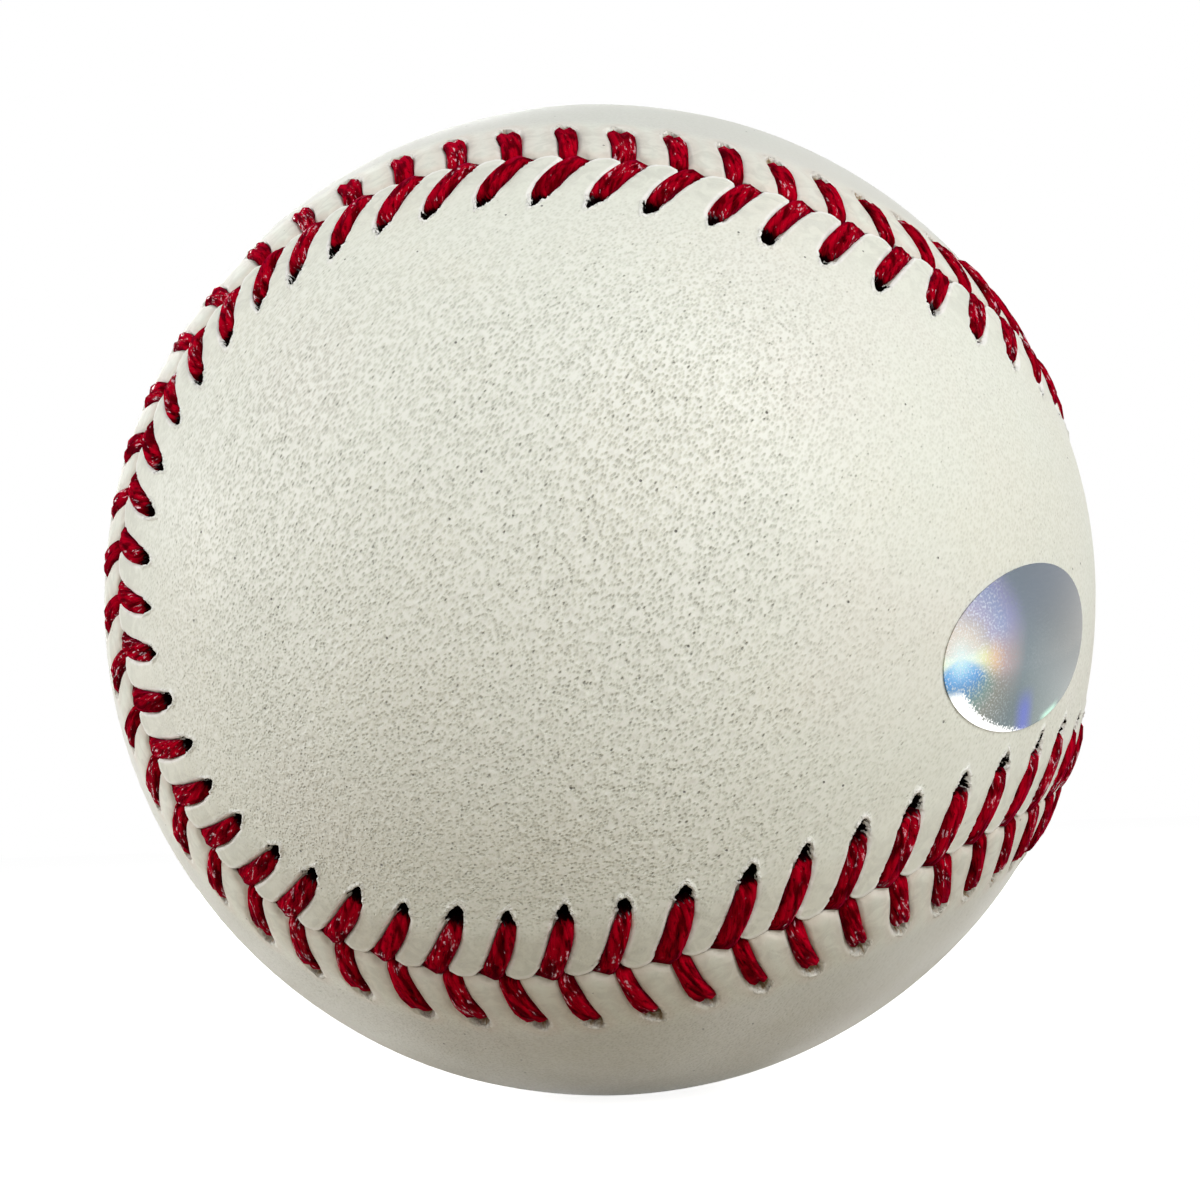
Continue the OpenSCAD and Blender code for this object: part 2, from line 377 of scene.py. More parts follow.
def pressLeather(directions, side, own, other, seed):  # its height, and its gap to threads and to holes
    points = directions * coverRadius
    out = leather["rows"][:, None, None]
    gap = gapToThreads(points, own)
    pressed = gap
    if side < 0:  # the feet of panel A's legs press on panel B too
        pressed = np.minimum(gap, gapToThreads(points, other) + leather["footRoom"])
    holeEdge, rim = holeShape(points, own, side, seed)
    edge = rollShare(out, leather["edgeRound"][side]) * leather["edgeDrop"][side]
    groove = rollShare(pressed, leather["shoulder"]) * leather["grooveDepth"]
    groove *= 1 - easeShare(*leather["groove"], out)
    rng = np.random.default_rng(seed + 1)
    swell = rng.normal(0, leather["tongueScatter"], (1, seam["stitches"], 1))  # between one leg and the next
    swell = np.where(columnPlaces < 0, np.roll(swell, 1, 1), swell) * np.abs(columnPlaces)
    swell = swell + leather["puff"] * easeShare(0, leather["puffWidth"], gap)
    swell += leather["ridge"][side] * np.exp(-((gap - leather["ridgeFrom"]) / leather["ridgeHalf"]) ** 2)
    height = leather["weltHeight"] * (1 - easeShare(*leather["welt"], out)) + unevenness(directions)
    height += swell * (1 - easeShare(*leather["tongue"], out)) - np.cbrt(edge ** 3 + groove ** 3)
    height += rim * leather["lipHeight"][side]
    depth = 1 - easeShare(*leather["holeWall"], holeEdge)
    return height * (1 - depth) - leather["holeDepth"][side] * depth, gap, holeEdge


def middleLine(side, count):  # each column's point on the panel's middle line, and the column that shares it
    index = np.arange(count)
    partner = (count // 2 - index if side > 0 else -index) % count
    x, y, z = seamAt(index * seamLength / count).T
    sweep = np.arctan2(y, x) if side > 0 else np.arctan2(z, -x)
    turn = np.abs(sweep)
    straight, end = math.radians(leather["middleStraight"]), math.radians(leather["middleEnd"])
    bend = np.clip((turn - straight) / (turn.max() - straight), 0, 1)
    sweep = np.sign(sweep) * np.where(turn > straight, straight + bend * (end - straight), turn)
    aside, onward, level = np.cos(sweep), np.sin(sweep), np.zeros(count)
    line = np.stack([aside, onward, level] if side > 0 else [-aside, level, onward], -1)
    return line, np.unique(np.minimum(index, partner), return_inverse=True)


def layOn(directions, radius):  # points on the ball, uneven on the skin and even on the flesh side
    lift = unevenness(directions) if radius == coverRadius else np.zeros(directions.shape[:-1])
    return directions * (radius + lift)[..., None]


def bridgeRings(faces, inner, outer, count):  # quads between two closed rings of as many points
    for c in range(count):
        d = (c + 1) % count
        faces.append((inner + c, outer + c, outer + d, inner + d))


def narrowRings(faces, fine, coarse, count):  # three fine columns meet one coarse one
    for c in range(count):
        f = [fine + (3 * c + k) % (3 * count) for k in range(4)]
        b = (coarse + c, coarse + (c + 1) % count)
        faces.extend([(f[0], b[0], f[1]), (f[1], b[0], b[1], f[2]), (f[2], b[1], f[3])])


def buildPanel(name, side, own, other, seed):
    directions = layColumns(side, own)
    height, gap, holeEdge = pressLeather(directions, side, own, other, seed)
    fine = seam["stitches"] * leather["columns"]
    coarse = fine // 9  # after two rings that each keep one column of three
    out = np.broadcast_to(leather["rows"][:, None, None], gap.shape)
    blocks = [(directions * (coverRadius + height)[..., None]).reshape(-1, 3)]
    values = {"threadGap": [np.minimum(gap, leather["far"]["threadGap"]).ravel()], "seamGap": [out.ravel()],
              "holeEdge": [np.minimum(holeEdge, leather["far"]["holeEdge"]).ravel()]}

    def addRing(points, **kept):  # gives the index of its first point
        start = sum(len(block) for block in blocks)
        blocks.append(points)
        for key, parts in values.items():
            parts.append(np.full(len(points), kept.get(key, leather["far"][key])))
        return start

    # the grain side, and the cut edge, which goes down to the glue
    grain, flesh = [], []
    for row in range(len(leather["rows"]) - 1):
        bridgeRings(grain, row * fine, (row + 1) * fine, fine)
    foot = addRing(directions[0].reshape(-1, 3) * cementRadius, seamGap=0.0)
    bridgeRings(grain, foot, 0, fine)

    # both sides grow coarser to the panel's middle line, and the flesh side closes the panel
    line, (kept, shared) = middleLine(side, coarse)
    for faces, start, rings, rows, radius in (
            (grain, len(blocks[0]) - fine, leather["grainRings"], leather["grainRows"], coverRadius),
            (flesh, foot, leather["fleshRings"], leather["fleshRows"], cementRadius)):
        for count, distance in zip((coarse * 3, coarse), rings):
            ring = beside(np.arange(count) * seamLength / count, np.full(count, side * distance))
            ringStart = addRing(layOn(ring, radius))
            narrowRings(faces, start, ringStart, count)
            start = ringStart
        spread = np.arccos(np.clip((ring * line).sum(-1), -1, 1))[:, None]
        for row in range(1, rows):
            share = row / rows
            arc = (ring * np.sin((1 - share) * spread) + line * np.sin(share * spread)) / np.sin(spread)
            arcStart = addRing(layOn(arc, radius))
            bridgeRings(faces, start, arcStart, coarse)
            start = arcStart
        last = addRing(layOn(line[kept], radius))
        for c in range(coarse):
            d = (c + 1) % coarse
            faces.append((start + c, last + shared[c], last + shared[d], start + d))

    faces = grain + [face[::-1] for face in flesh]
    if side < 0:
        faces = [face[::-1] for face in faces]
    mesh = bpy.data.meshes.new(name)
    mesh.from_pydata(np.concatenate(blocks).tolist(), [], faces)
    piece = bpy.data.objects.new(name, mesh)
    bpy.context.scene.collection.objects.link(piece)
    for key, parts in values.items():
        storeValues(piece, key, np.concatenate(parts))
    storeValues(piece, "underlap", np.full(len(mesh.vertices), 1.0 if side < 0 else 0.0))
    mesh.polygons.foreach_set("use_smooth", np.ones(len(mesh.polygons), bool))
    return piece


panelA = buildPanel("leather_panel_a", 1, legsA, legsB, 31)
panelB = buildPanel("leather_panel_b", -1, legsB, legsA, 47)
print("leather panels built,", len(panelA.data.polygons), "faces each")


def legMaster():  # a straight leg one unit to a station, extruded from its section
    selectOnly()
    bpy.ops.mesh.primitive_circle_add(vertices=len(stitching["section"]), radius=1, fill_type="NGON")
    master = bpy.context.object
    bpy.ops.object.mode_set(mode="EDIT")
    bpy.ops.mesh.select_all(action="SELECT")
    for station in range(len(stitching["a"]["stations"]) - 1):
        bpy.ops.mesh.extrude_region_move(TRANSFORM_OT_translate={"value": (0, 0, 1)})
    bpy.ops.object.mode_set(mode="OBJECT")
    return master


def sewLegs(name, panel, legs):
    master = legMaster()
    sewn = stitching[panel]
    section = np.array(stitching["section"])
    corners = np.array([v.co for v in master.data.vertices])
    station = corners[:, 2].round().astype(int)
    turn = np.arctan2(corners[:, 1], corners[:, 0]) % (2 * math.pi)
    around = (turn / (2 * math.pi / len(section))).round().astype(int) % len(section)
    middle = around == len(section) // 2
    wave = np.sin(np.linspace(0, stitching["wanderTurn"], len(sewn["stations"])))
    copies = []
    for i in range(seam["stitches"]):
        route = legs["direction"][i] * (coverRadius + legs["top"][i])[:, None]
        across = legs["edge"][i] * (-coverRadius / 2 * sewn["side"])
        up = unit(np.cross(np.gradient(route, axis=0), across))
        split = legs["split"][i][station]
        outline = section[around]
        outline[middle, 1] *= split[middle]
        outline[middle, 0] += (legs["twist"][i] * wave * stitching["wander"])[station[middle]]
        points = (route[station] + across[station] * outline[:, :1]
                  + up[station] * outline[:, 1:2] * stitching["thickness"])
        copy = bpy.data.objects.new(name, master.data.copy())
        bpy.context.scene.collection.objects.link(copy)
        copy.data.vertices.foreach_set("co", points.astype(np.float32).ravel())
        length = np.append(0, np.cumsum(np.linalg.norm(np.diff(route, axis=0), axis=1)))
        girth = np.linspace(0, stitching["girth"], len(section))[around] * legs["half"][i][station]
        lay = np.stack([length[station], girth, np.full(len(around), i * stitching["apart"])], -1)
        storeValues(copy, "lay", lay, "FLOAT_VECTOR")
        storeValues(copy, "shade", np.full(len(around), legs["shade"][i]))
        # painted shade: on the flanks and between the strands, where a leg goes into its hole, and where its
        # tail goes down between the panels
        storeValues(copy, "flank", outline[:, 2] + sewn["parting"] * middle * np.clip(split, 0, 1))
        storeValues(copy, "hole", 1 - easeShare(*sewn["hidden"], station))
        storeValues(copy, "tail", easeShare(*stitching["tail"], station))
        copies.append(copy)
    bpy.data.objects.remove(master)
    selectOnly(*copies)
    bpy.ops.object.join()
    piece = bpy.context.object
    piece.name = name
    bpy.ops.object.shade_smooth()
    return piece


threadA = sewLegs("thread_legs_a", "a", legsA)
threadB = sewLegs("thread_legs_b", "b", legsB)
print("stitches sewn,", len(threadA.data.polygons) // seam["stitches"], "faces to a leg")

# Sticker: a thin oval of foil, laid on the waist of panel A
sticker = {
    "length": 18 * mm, "height": 10.8 * mm, "thickness": 0.1 * mm,
    "turn": 46.5, "drop": 10.4, "tilt": 12.6,  # degrees round from the front, below the middle, and of tilt
    "points": 96, "rings": (0.02, 0.05, 0.13, 0.2, 0.2, 0.2),  # insets from the rim, in half heights
    "glue": 0.02 * mm,
    "crispFrom": 35,  # degrees between two faces with a crisp edge
}


def buildSticker():
    selectOnly()
    bpy.ops.mesh.primitive_circle_add(vertices=sticker["points"], radius=1, fill_type="NGON")
    piece = bpy.context.object
    bpy.ops.object.mode_set(mode="EDIT")
    bpy.ops.mesh.select_all(action="SELECT")
    for inset in sticker["rings"]:
        bpy.ops.mesh.inset(thickness=inset)
    bpy.ops.mesh.poke()
    bpy.ops.object.mode_set(mode="OBJECT")
    flat = np.array([v.co for v in piece.data.vertices])
    flat *= (sticker["length"] / 2, sticker["height"] / 2, 1)
    storeValues(piece, "flat", flat, "FLOAT_VECTOR")
    # across and up on the ball at the sticker's middle, turned by its tilt
    turn, drop, tilt = (math.radians(sticker[key]) for key in ("turn", "drop", "tilt"))
    out = Vector((math.sin(turn) * math.cos(drop), -math.cos(turn) * math.cos(drop), -math.sin(drop)))
    level = Vector((math.cos(turn), math.sin(turn), 0))
    right = level * math.cos(tilt) + out.cross(level) * math.sin(tilt)
    around = np.outer(flat[:, 0], right) + np.outer(flat[:, 1], out.cross(right))
    height = np.sqrt(coverRadius ** 2 - (around ** 2).sum(-1))
    directions = unit(around + height[:, None] * np.array(out))
    points = directions * (coverRadius + unevenness(directions) + sticker["glue"])[:, None]
    piece.data.vertices.foreach_set("co", points.astype(np.float32).ravel())
    piece.name = "foil_oval"
    selectOnly(piece)
    solid = piece.modifiers.new("thickness", "SOLIDIFY")
    solid.thickness = sticker["thickness"]
    solid.offset = 1
    bpy.ops.object.modifier_apply(modifier=solid.name)
    bpy.ops.object.shade_smooth_by_angle(angle=math.radians(sticker["crispFrom"]))
    return piece


foil = buildSticker()
print("sticker laid on")

waveStep = 0.32  # the bands of a Wave texture stand about this far apart at scale 1


# Full-grain cowhide, alum tanned and polished: a chalky, dull satin skin with fine pits that lean one way
def cowhideMaterial():
    hide = {
        # besides the skin's own tones, these hold painted shade for the holes, the crevice, panel B's plain
        # part and where the threads meet the leather, and a near-white that also paints highlights on rims
        "base": "#E8EBDF", "warm": "#E8E8DA", "pink": "#E6E1D9", "pale": "#F6F8F0", "pit": "#BDBFB3",
        "deepPit": "#8A877E", "pinhole": "#38342D", "torn": "#FBFBF6", "well": "#0A0605", "hollow": "#988263",
        "hollowDeep": "#30251A", "crevice": "#4C3C35", "plainPartShade": "#C1C1C0", "contact": "#6B3A33",
        "stain": "#D9C4B8",  # dye from the thread
        # sizes of the patterns
        "pits": 0.185 * mm, "dimples": 0.55 * mm, "pinholes": 2.2 * mm, "patches": 11 * mm,
        "blush": 18.3333 * mm, "regions": 8 * mm, "creases": 1.3 * mm, "veins": 1.5 * mm,
        "tears": 0.30 * mm, "fine": 0.16 * mm,
        "lean": 40, "stretch": 2.0,  # the pits lean by these degrees and are taller than they are wide
        "wobble": 0.7 * mm, "wobbleBy": 0.1 * mm, "veinsBy": 1.6 * mm,  # how far noise bends pits and veins
        "ragged": 0.65,  # how far the holes' torn edges stray, in shares of a hole's width
        # the skin is smoother to the left, to the right and at the top, and where the seam stretches it
        "left": (-37 * mm, -20 * mm), "right": (2 * mm, 19 * mm), "top": (10 * mm, 24 * mm), "smooth": 0.4,
        "stretched": (2.0 * mm, 7.5 * mm), "grainThere": 0.12,
        "relief": 0.052 * mm,
    }
    material, tree, shader, place = startMaterial("full_grain_cowhide", {"Roughness": 0.52, "IOR": 1.5})
    where = addNode(tree, "SeparateXYZ", {0: place}).outputs
    leaning = addNode(tree, "Mapping", {"Vector": place, "Rotation": (0, math.radians(hide["lean"]), 0),
                                        "Scale": (1, 1, hide["stretch"])}, vector_type="TEXTURE")
    wobble = addNode(tree, "TexNoise", {"Vector": place, "Scale": 1 / hide["wobble"], "Detail": 2.0})
    shifted = addNode(tree, "VectorMath", {
        0: wobble.outputs["Color"], 1: (hide["wobbleBy"],) * 3, 2: leaning}, operation="MULTIPLY_ADD")
    pits, dimples, follicles = (
        addNode(tree, "TexVoronoi", {"Vector": follows, "Scale": 1 / hide[key]})
        for key, follows in (("pits", shifted), ("dimples", shifted), ("pinholes", place)))
    lot = addNode(tree, "SeparateColor", {0: pits.outputs["Color"]}).outputs
    # the blush is another slice of 4D noise, so that it differs from the patches
    region, patches, blush, tears, creases, fine = (
        addNode(tree, "TexNoise", {"Vector": follows, "Scale": 1 / hide[key], "Detail": detail, **more},
                noise_dimensions="4D" if "W" in more else "3D")
        for key, follows, detail, more in (
            ("regions", place, 3.0, {}), ("patches", place, 4.0, {}), ("blush", place, 3.0, {"W": 3.1}),
            ("tears", place, 3.0, {}), ("creases", place, 5.0, {"Distortion": 1.2}),
            ("fine", leaning, 2.0, {})))
    bent = addNode(tree, "VectorMath", {
        0: creases.outputs["Color"], 1: (hide["veinsBy"],) * 3, 2: place}, operation="MULTIPLY_ADD")
    veins = addNode(tree, "TexVoronoi", {"Vector": bent, "Scale": 1 / hide["veins"]},
                    feature="DISTANCE_TO_EDGE")
    threadGap, seamGap, holeEdge, onB = (addNode(tree, "Attribute", attribute_name=key).outputs["Fac"]
                                         for key in ("threadGap", "seamGap", "holeEdge", "underlap"))

    smooth, strained = hide["smooth"], hide["stretched"]
    onA = shareOf(tree, (onB, 0, 1, 1, 0))
    nearSeam = shareOf(tree, (seamGap, *strained, 1 - hide["grainThere"], 0))
    grain = shareOf(tree, (where["X"], *hide["left"], smooth, 1), (where["X"], *hide["right"], 1, smooth),
                    (where["Z"], *hide["top"], 1, smooth), (seamGap, *strained, hide["grainThere"], 1),
                    (onB, 0, 1, 1, 0.55))
    pit = shareOf(tree, (pits, 0.12, 0.54, 1, 0), (lot[0], 0, 0.8, 0.45, 1),
                  (region, 0.35, 0.65, 0.92, 1), grain)
    dimple = shareOf(tree, (dimples, 0.25, 0.55, 1, 0), grain)
    deep = shareOf(tree, (lot[1], 0.88, 0.99), (pits, 0.12, 0.34, 1, 0), grain)
    pinhole = shareOf(tree, (follicles, 0.025, 0.05, 1, 0))
    stray = addNode(tree, "Math", {0: tears, 1: 0.5}, operation="SUBTRACT")
    torn = addNode(tree, "Math", {0: stray, 1: hide["ragged"], 2: holeEdge}, operation="MULTIPLY_ADD")
    hole = addNode(tree, "Math", {0: shareOf(tree, (torn, 1, 1.08, 1, 0), onA),
                                  1: shareOf(tree, (torn, 0.8, 1.05, 1, 0), onB)}, operation="ADD")
    lip = shareOf(tree, (torn, 1, 1.06), (torn, 1.28, 1.6, 1, 0), (tears, 0.42, 0.52, 0.1, 1))
    # painted shade inside the holes: near-black in panel A's, and in panel B's brown, darker deeper in
    inside = layTones(tree, hide, "well", [("hollowDeep", onB), ("hollow", (torn, 0.35, 0.95), onB)])
    colour = layTones(tree, hide, "base", [
        ("warm", (patches, 0.45, 0.66, 0, 0.5)), ("pink", (blush, 0.5, 0.68, 0, 0.35)),
        ("pale", (pits, 0.47, 0.68), grain, 0.85),  # the ridges between the pits
        ("pit", dimple, 0.08), ("pit", pit, 0.68), ("deepPit", deep, 0.6), ("pinhole", pinhole, 0.8),
        ("pale", (veins, 0, 0.05, 1, 0), (creases, 0.48, 0.62), nearSeam, 0.4),
        # painted shade: panel B's plain part, at the ball's top and bottom, is painted greyer
        ("plainPartShade", (seamGap, 4.6 * mm, 7.4 * mm), onB, 0.36),
        ("stain", (threadGap, 0, 0.1 * mm), (threadGap, 0.2 * mm, 1.3 * mm, 1, 0), creases, onB, 0.55),
        # a painted highlight: a near-white rim beside each thread, fainter on panel B
        ("torn", (threadGap, 0, 0.05 * mm), (threadGap, 0.16 * mm, 0.38 * mm, 1, 0), (onB, 0, 1, 1, 0.3)),
        ("pit", (creases, 0.40, 0.62), nearSeam, 0.35),
        # the cut edge: a painted highlight along panel A's rim, and a pinkish tint beside it on panel B
        ("torn", (seamGap, 0.04 * mm, 0.1 * mm), (seamGap, 0.24 * mm, 0.55 * mm, 1, 0), onA, 0.7),
        ("stain", (seamGap, 0.2 * mm, 0.9 * mm, 1, 0), onB, 0.3),
        # painted shade where the threads meet the leather, and in the crevice between the panels
        ("contact", (threadGap, -0.05 * mm, 0.05 * mm, 1, 0), 0.55),
        ("crevice", (seamGap, 0.02 * mm, 0.12 * mm, 1, 0), 0.6),
        # frayed skin beside the thread, where it comes out of its hole
        ("torn", (threadGap, -0.04 * mm, 0.04 * mm), (threadGap, 0.1 * mm, 0.3 * mm, 1, 0),
         (tears, 0.46, 0.56), (seamGap, 3.9 * mm, 4.6 * mm), (seamGap, 5.0 * mm, 5.6 * mm, 1, 0), 0.9),
        # the torn lips round the holes, and the painted shade inside them
        ("torn", lip, (onB, 0, 1, 0.95, 0.08)), (inside, hole)])
    finishSurface(tree, shader, colour, 1.0, hide["relief"], [
        (0.3, fine, grain), (-1, pit), (-0.6, dimple), (-1.5, deep), (-1.5, pinhole),
        (1, creases, (seamGap, 0, 6.8 * mm, 1.2, 0)), (2.5, lip, tears)])
    for socket, eased in (("Roughness", (region, 0.3, 0.7, 0.46, 0.6)),
                          ("Specular IOR Level", (hole, 0, 1, 0.5, 0))):
        tree.links.new(shareOf(tree, eased).outputs[0], shader.inputs[socket])
    return material


# Waxed cotton thread, dyed crimson: twisted plies under a thin wax that catches the light in specks, which
# also carry painted pink glints
def threadMaterial():
    yarn = {
        "deep": "#660008", "bright": "#C80222", "rose": "#C2103E", "waxGlint": "#F0B4C6", "dark": "#120002",
        "glow": "#E8205A",
        "plyTwist": 0.5 * mm, "fibre": 0.10 * mm, "speck": 0.26 * mm, "mottle": 0.55 * mm, "worn": 3.0 * mm,
        "twist": 14,  # degrees that the plies turn from the thread's length
        "fibreDraw": 0.14, "mottleDraw": 0.30,  # scale of the patterns along it, against across it
        "relief": 0.06 * mm,
    }
    material, tree, shader, lay = startMaterial("waxed_cotton_thread", {
        "Roughness": 0.42, "IOR": 1.45, "Coat Roughness": 0.14,
        "Specular IOR Level": 0.0,  # soaked fibres lie under the wax and don't shine
        # loose fibres glow where they are seen along the surface
        "Sheen Weight": 0.4, "Sheen Roughness": 0.35, "Sheen Tint": hexColour(yarn["glow"])}, "lay")
    shade, hole, tail, flank = (addNode(tree, "Attribute", attribute_name=key).outputs["Fac"]
                                for key in ("shade", "hole", "tail", "flank"))
    turned = addNode(tree, "Mapping", {"Vector": lay, "Rotation": (0, 0, math.radians(yarn["twist"]))})
    plies = addNode(tree, "TexWave", {
        "Vector": turned, "Scale": waveStep / yarn["plyTwist"], "Distortion": 2.4, "Detail": 2.0,
        "Detail Scale": 1.2}, bands_direction="Y").outputs["Fac"]
    drawn, stretched = (addNode(tree, "Mapping", {"Vector": turned, "Scale": (yarn[key], 1, 1)})
                        for key in ("fibreDraw", "mottleDraw"))
    fibres = addNode(tree, "TexNoise", {"Vector": drawn, "Scale": 1 / yarn["fibre"], "Detail": 3.0})
    tone = addNode(tree, "TexNoise", {"Vector": stretched, "Scale": 1 / yarn["mottle"], "Detail": 4.0})
    specks = addNode(tree, "TexNoise", {"Vector": stretched, "Scale": 1 / yarn["speck"], "Detail": 4.0,
                                        "Roughness": 0.65})
    worn = addNode(tree, "TexNoise", {"Vector": lay, "Scale": 1 / yarn["worn"], "Detail": 1.0})
    kept = shareOf(tree, (worn, 0.40, 0.62, -0.05, 0.05))  # some legs keep more of their wax
    waxAndPaintedGlint = addNode(tree, "Math", {0: specks, 1: kept}, operation="ADD")
    # painted shade where the thread goes into its hole, its edge broken up by the specks
    holeShadeJitter = addNode(tree, "Math", {0: specks, 1: 1.6, 2: -0.8}, operation="MULTIPLY_ADD")
    holeShade = addNode(tree, "Math", {0: hole, 1: holeShadeJitter}, operation="ADD")
    # painted light on the thread: shade in the plies' grooves, on the flanks and between the strands, at the
    # hole and on the tail, and pink glints where the wax shines
    colour = layTones(tree, yarn, "deep", [
        ("bright", (tone, 0.38, 0.58)), ("rose", (fibres, 0.54, 0.76), 0.35), ("deep", shade, 0.22),
        ("dark", (plies, 0, 0.22, 1, 0), 0.25), ("dark", (specks, 0.34, 0.44, 1, 0), 0.7),
        ("waxGlint", (waxAndPaintedGlint, 0.625, 0.68), 0.8), ("dark", flank, 0.75), ("dark", hole, 0.5), ("dark", tail, 0.85),
        ("dark", (holeShade, 0.45, 0.72), 0.97)])
    finishSurface(tree, shader, colour, 0.8, yarn["relief"], [(1, plies), (1.1, fibres)])
    tree.links.new(shareOf(tree, (waxAndPaintedGlint, 0.60, 0.68, 0, 0.9)).outputs[0], shader.inputs["Coat Weight"])
    return material


# Metallised film with a diffraction layer: a mirror-bright silver, whose soft rings of split light are
# painted on as reflected colour
def foilMaterial():
    film = {
        # painted reflections of diffraction colour, by the distance in mm from the hub of the rainbow: to its
        # right, above it and below it
        "right": [(0.0, "#BCCCCA"), (1.2, "#C0CDC0"), (2.3, "#C4C398"), (3.4, "#BDA289"), (4.4, "#9E8C8C"),
                  (7.0, "#6B777C"), (16.0, "#8F908D")],
        "above": [(0.0, "#BCCCCA"), (1.6, "#B8B0A5"), (2.6, "#A09B9F"), (3.2, "#9794AB"), (4.6, "#858FAE"),
                  (5.5, "#8688A8"), (7.1, "#727D88"), (16.0, "#787E88")],
        "below": [(0.0, "#BCCCCA"), (0.6, "#98BFCC"), (1.2, "#6C9CC2"), (1.9, "#4E82B4"), (2.7, "#5F8090"),
                  (3.2, "#6C837C"), (4.3, "#7A776B"), (7.0, "#58656A"), (16.0, "#88948A")],
        "hub": (-7.55 * mm, 0.6 * mm, 0.0), "ringEnd": 16 * mm,
        # painted light: slate is painted shade, glare, mint and spark are painted highlights, and iris is a
        # painted streak of reflected colour
        "slate": "#667374", "glare": "#FDFDFB", "iris": "#5560B2", "mint": "#B4E0CA", "spark": "#D6DBDA",
        "grain": 0.17 * mm, "ripple": 4.0 * mm,
        "rippleBy": 1.2 * mm, "grainBy": 1.8 * mm,  # how far they blur the rings
        # how far they bend the shaded half's edge and the glare's, which lies farther in to the left
        "shadeBy": 1.0 * mm, "glareBy": 0.35, "glareLean": -0.036 / mm,
        "relief": 0.02 * mm,
    }
    material, tree, shader, flat = startMaterial(
        "holographic_foil", {"Roughness": 0.26, "Metallic": 0.9}, "flat")
    across, upward, _ = addNode(tree, "SeparateXYZ", {0: flat}).outputs
    ripple = addNode(tree, "TexNoise", {"Vector": flat, "Scale": 1 / film["ripple"], "Detail": 3.0})
    grain = addNode(tree, "TexNoise", {"Vector": flat, "Scale": 1 / film["grain"], "Detail": 1.0})
    spokes = addNode(tree, "VectorMath", {0: flat, 1: film["hub"]}, operation="SUBTRACT")
    distance = addNode(tree, "VectorMath", {0: spokes}, operation="LENGTH")
    away = addNode(tree, "Math", {0: distance, 1: 0.05 * mm}, operation="MAXIMUM")
    rise = addNode(tree, "Math", {0: addNode(tree, "SeparateXYZ", {0: spokes}).outputs["Y"], 1: away},
                   operation="DIVIDE")
    blurred = addNode(tree, "Math", {0: ripple, 1: film["rippleBy"], 2: distance}, operation="MULTIPLY_ADD")
    blurred = addNode(tree, "Math", {0: grain, 1: film["grainBy"], 2: blurred}, operation="MULTIPLY_ADD")
    middle = (film["rippleBy"] + film["grainBy"]) / 2
    fan = addNode(tree, "Math", {0: blurred, 1: 1 / film["ringEnd"], 2: -middle / film["ringEnd"]},
                  operation="MULTIPLY_ADD")
    sectors = {}
    for sector in ("right", "above", "below"):
        rings = addNode(tree, "ValToRGB", {0: fan})
        for _ in film[sector][2:]:
            rings.color_ramp.elements.new(0.5)
        for element, (reach, tone) in zip(rings.color_ramp.elements, film[sector]):
            element.position = reach * mm / film["ringEnd"]
            element.color = hexColour(tone)
        sectors[sector] = rings.outputs["Color"]
    # painted light: shade on the lower half, as turned from the light, a bright painted glare along its rim,
    # painted sparkle on the left, and two painted streaks of reflected colour across it
    rim = addNode(tree, "VectorMath", {0: flat, 1: (2 / sticker["length"], 2 / sticker["height"], 0)},
                  operation="MULTIPLY")
    rimShare = addNode(tree, "VectorMath", {0: rim, 1: rim}, operation="DOT_PRODUCT")  # 1 at the rim
    lowEdge = addNode(tree, "Math", {0: ripple, 1: film["shadeBy"], 2: upward}, operation="MULTIPLY_ADD")
    glareEdge = addNode(tree, "Math", {0: across, 1: film["glareLean"], 2: rimShare},
                        operation="MULTIPLY_ADD")
    glareEdge = addNode(tree, "Math", {0: grain, 1: film["glareBy"], 2: glareEdge}, operation="MULTIPLY_ADD")
    colour = layTones(tree, film, sectors["right"], [
        (sectors["above"], (rise, -0.15, 0.40)), (sectors["below"], (rise, -0.65, -0.20, 1, 0)),
        ("spark", (grain, 0.46, 0.72), (across, -5.0 * mm, -1.5 * mm, 1, 0.12), 0.5),
        ("slate", (lowEdge, -1.3 * mm, -0.2 * mm, 1, 0), 0.3),
        ("iris", (upward, -4.2 * mm, -2.2 * mm, 1, 0), (across, -2.1 * mm, -0.6 * mm),
         (across, -0.6 * mm, 0.9 * mm, 1, 0), 0.75),
        ("mint", (rimShare, 0.8, 0.96), (upward, -4.0 * mm, -3.0 * mm, 1, 0), (across, 1.4 * mm, 2.6 * mm),
         (across, 3.4 * mm, 4.6 * mm, 1, 0), 0.8),
        ("glare", (glareEdge, 1.12, 1.24), (upward, -2.3 * mm, -1.3 * mm, 1, 0),
         (across, -2.4 * mm, 0.6 * mm, 1, 0))])
    finishSurface(tree, shader, colour, 0.12, film["relief"], [(1, grain)])
    return material


# Ground cork bound with rubber: brown grains in a darker binder
def corkMaterial():
    cork = {"brown": "#A9743F", "tan": "#D2A56C", "binder": "#4A2E1A", "grains": 1.6 * mm, "relief": 0.2 * mm}
    material, tree, shader, place = startMaterial("cork_composition", {"Roughness": 0.9, "IOR": 1.4})
    grains = addNode(tree, "TexVoronoi", {"Vector": place, "Scale": 1 / cork["grains"]})
    lot = addNode(tree, "SeparateColor", {0: grains.outputs["Color"]})
    colour = layTones(tree, cork, "brown", [("tan", lot), ("binder", (grains, 0.42, 0.6))])
    finishSurface(tree, shader, colour, 0.5, cork["relief"], [(-1, grains)])
    return material


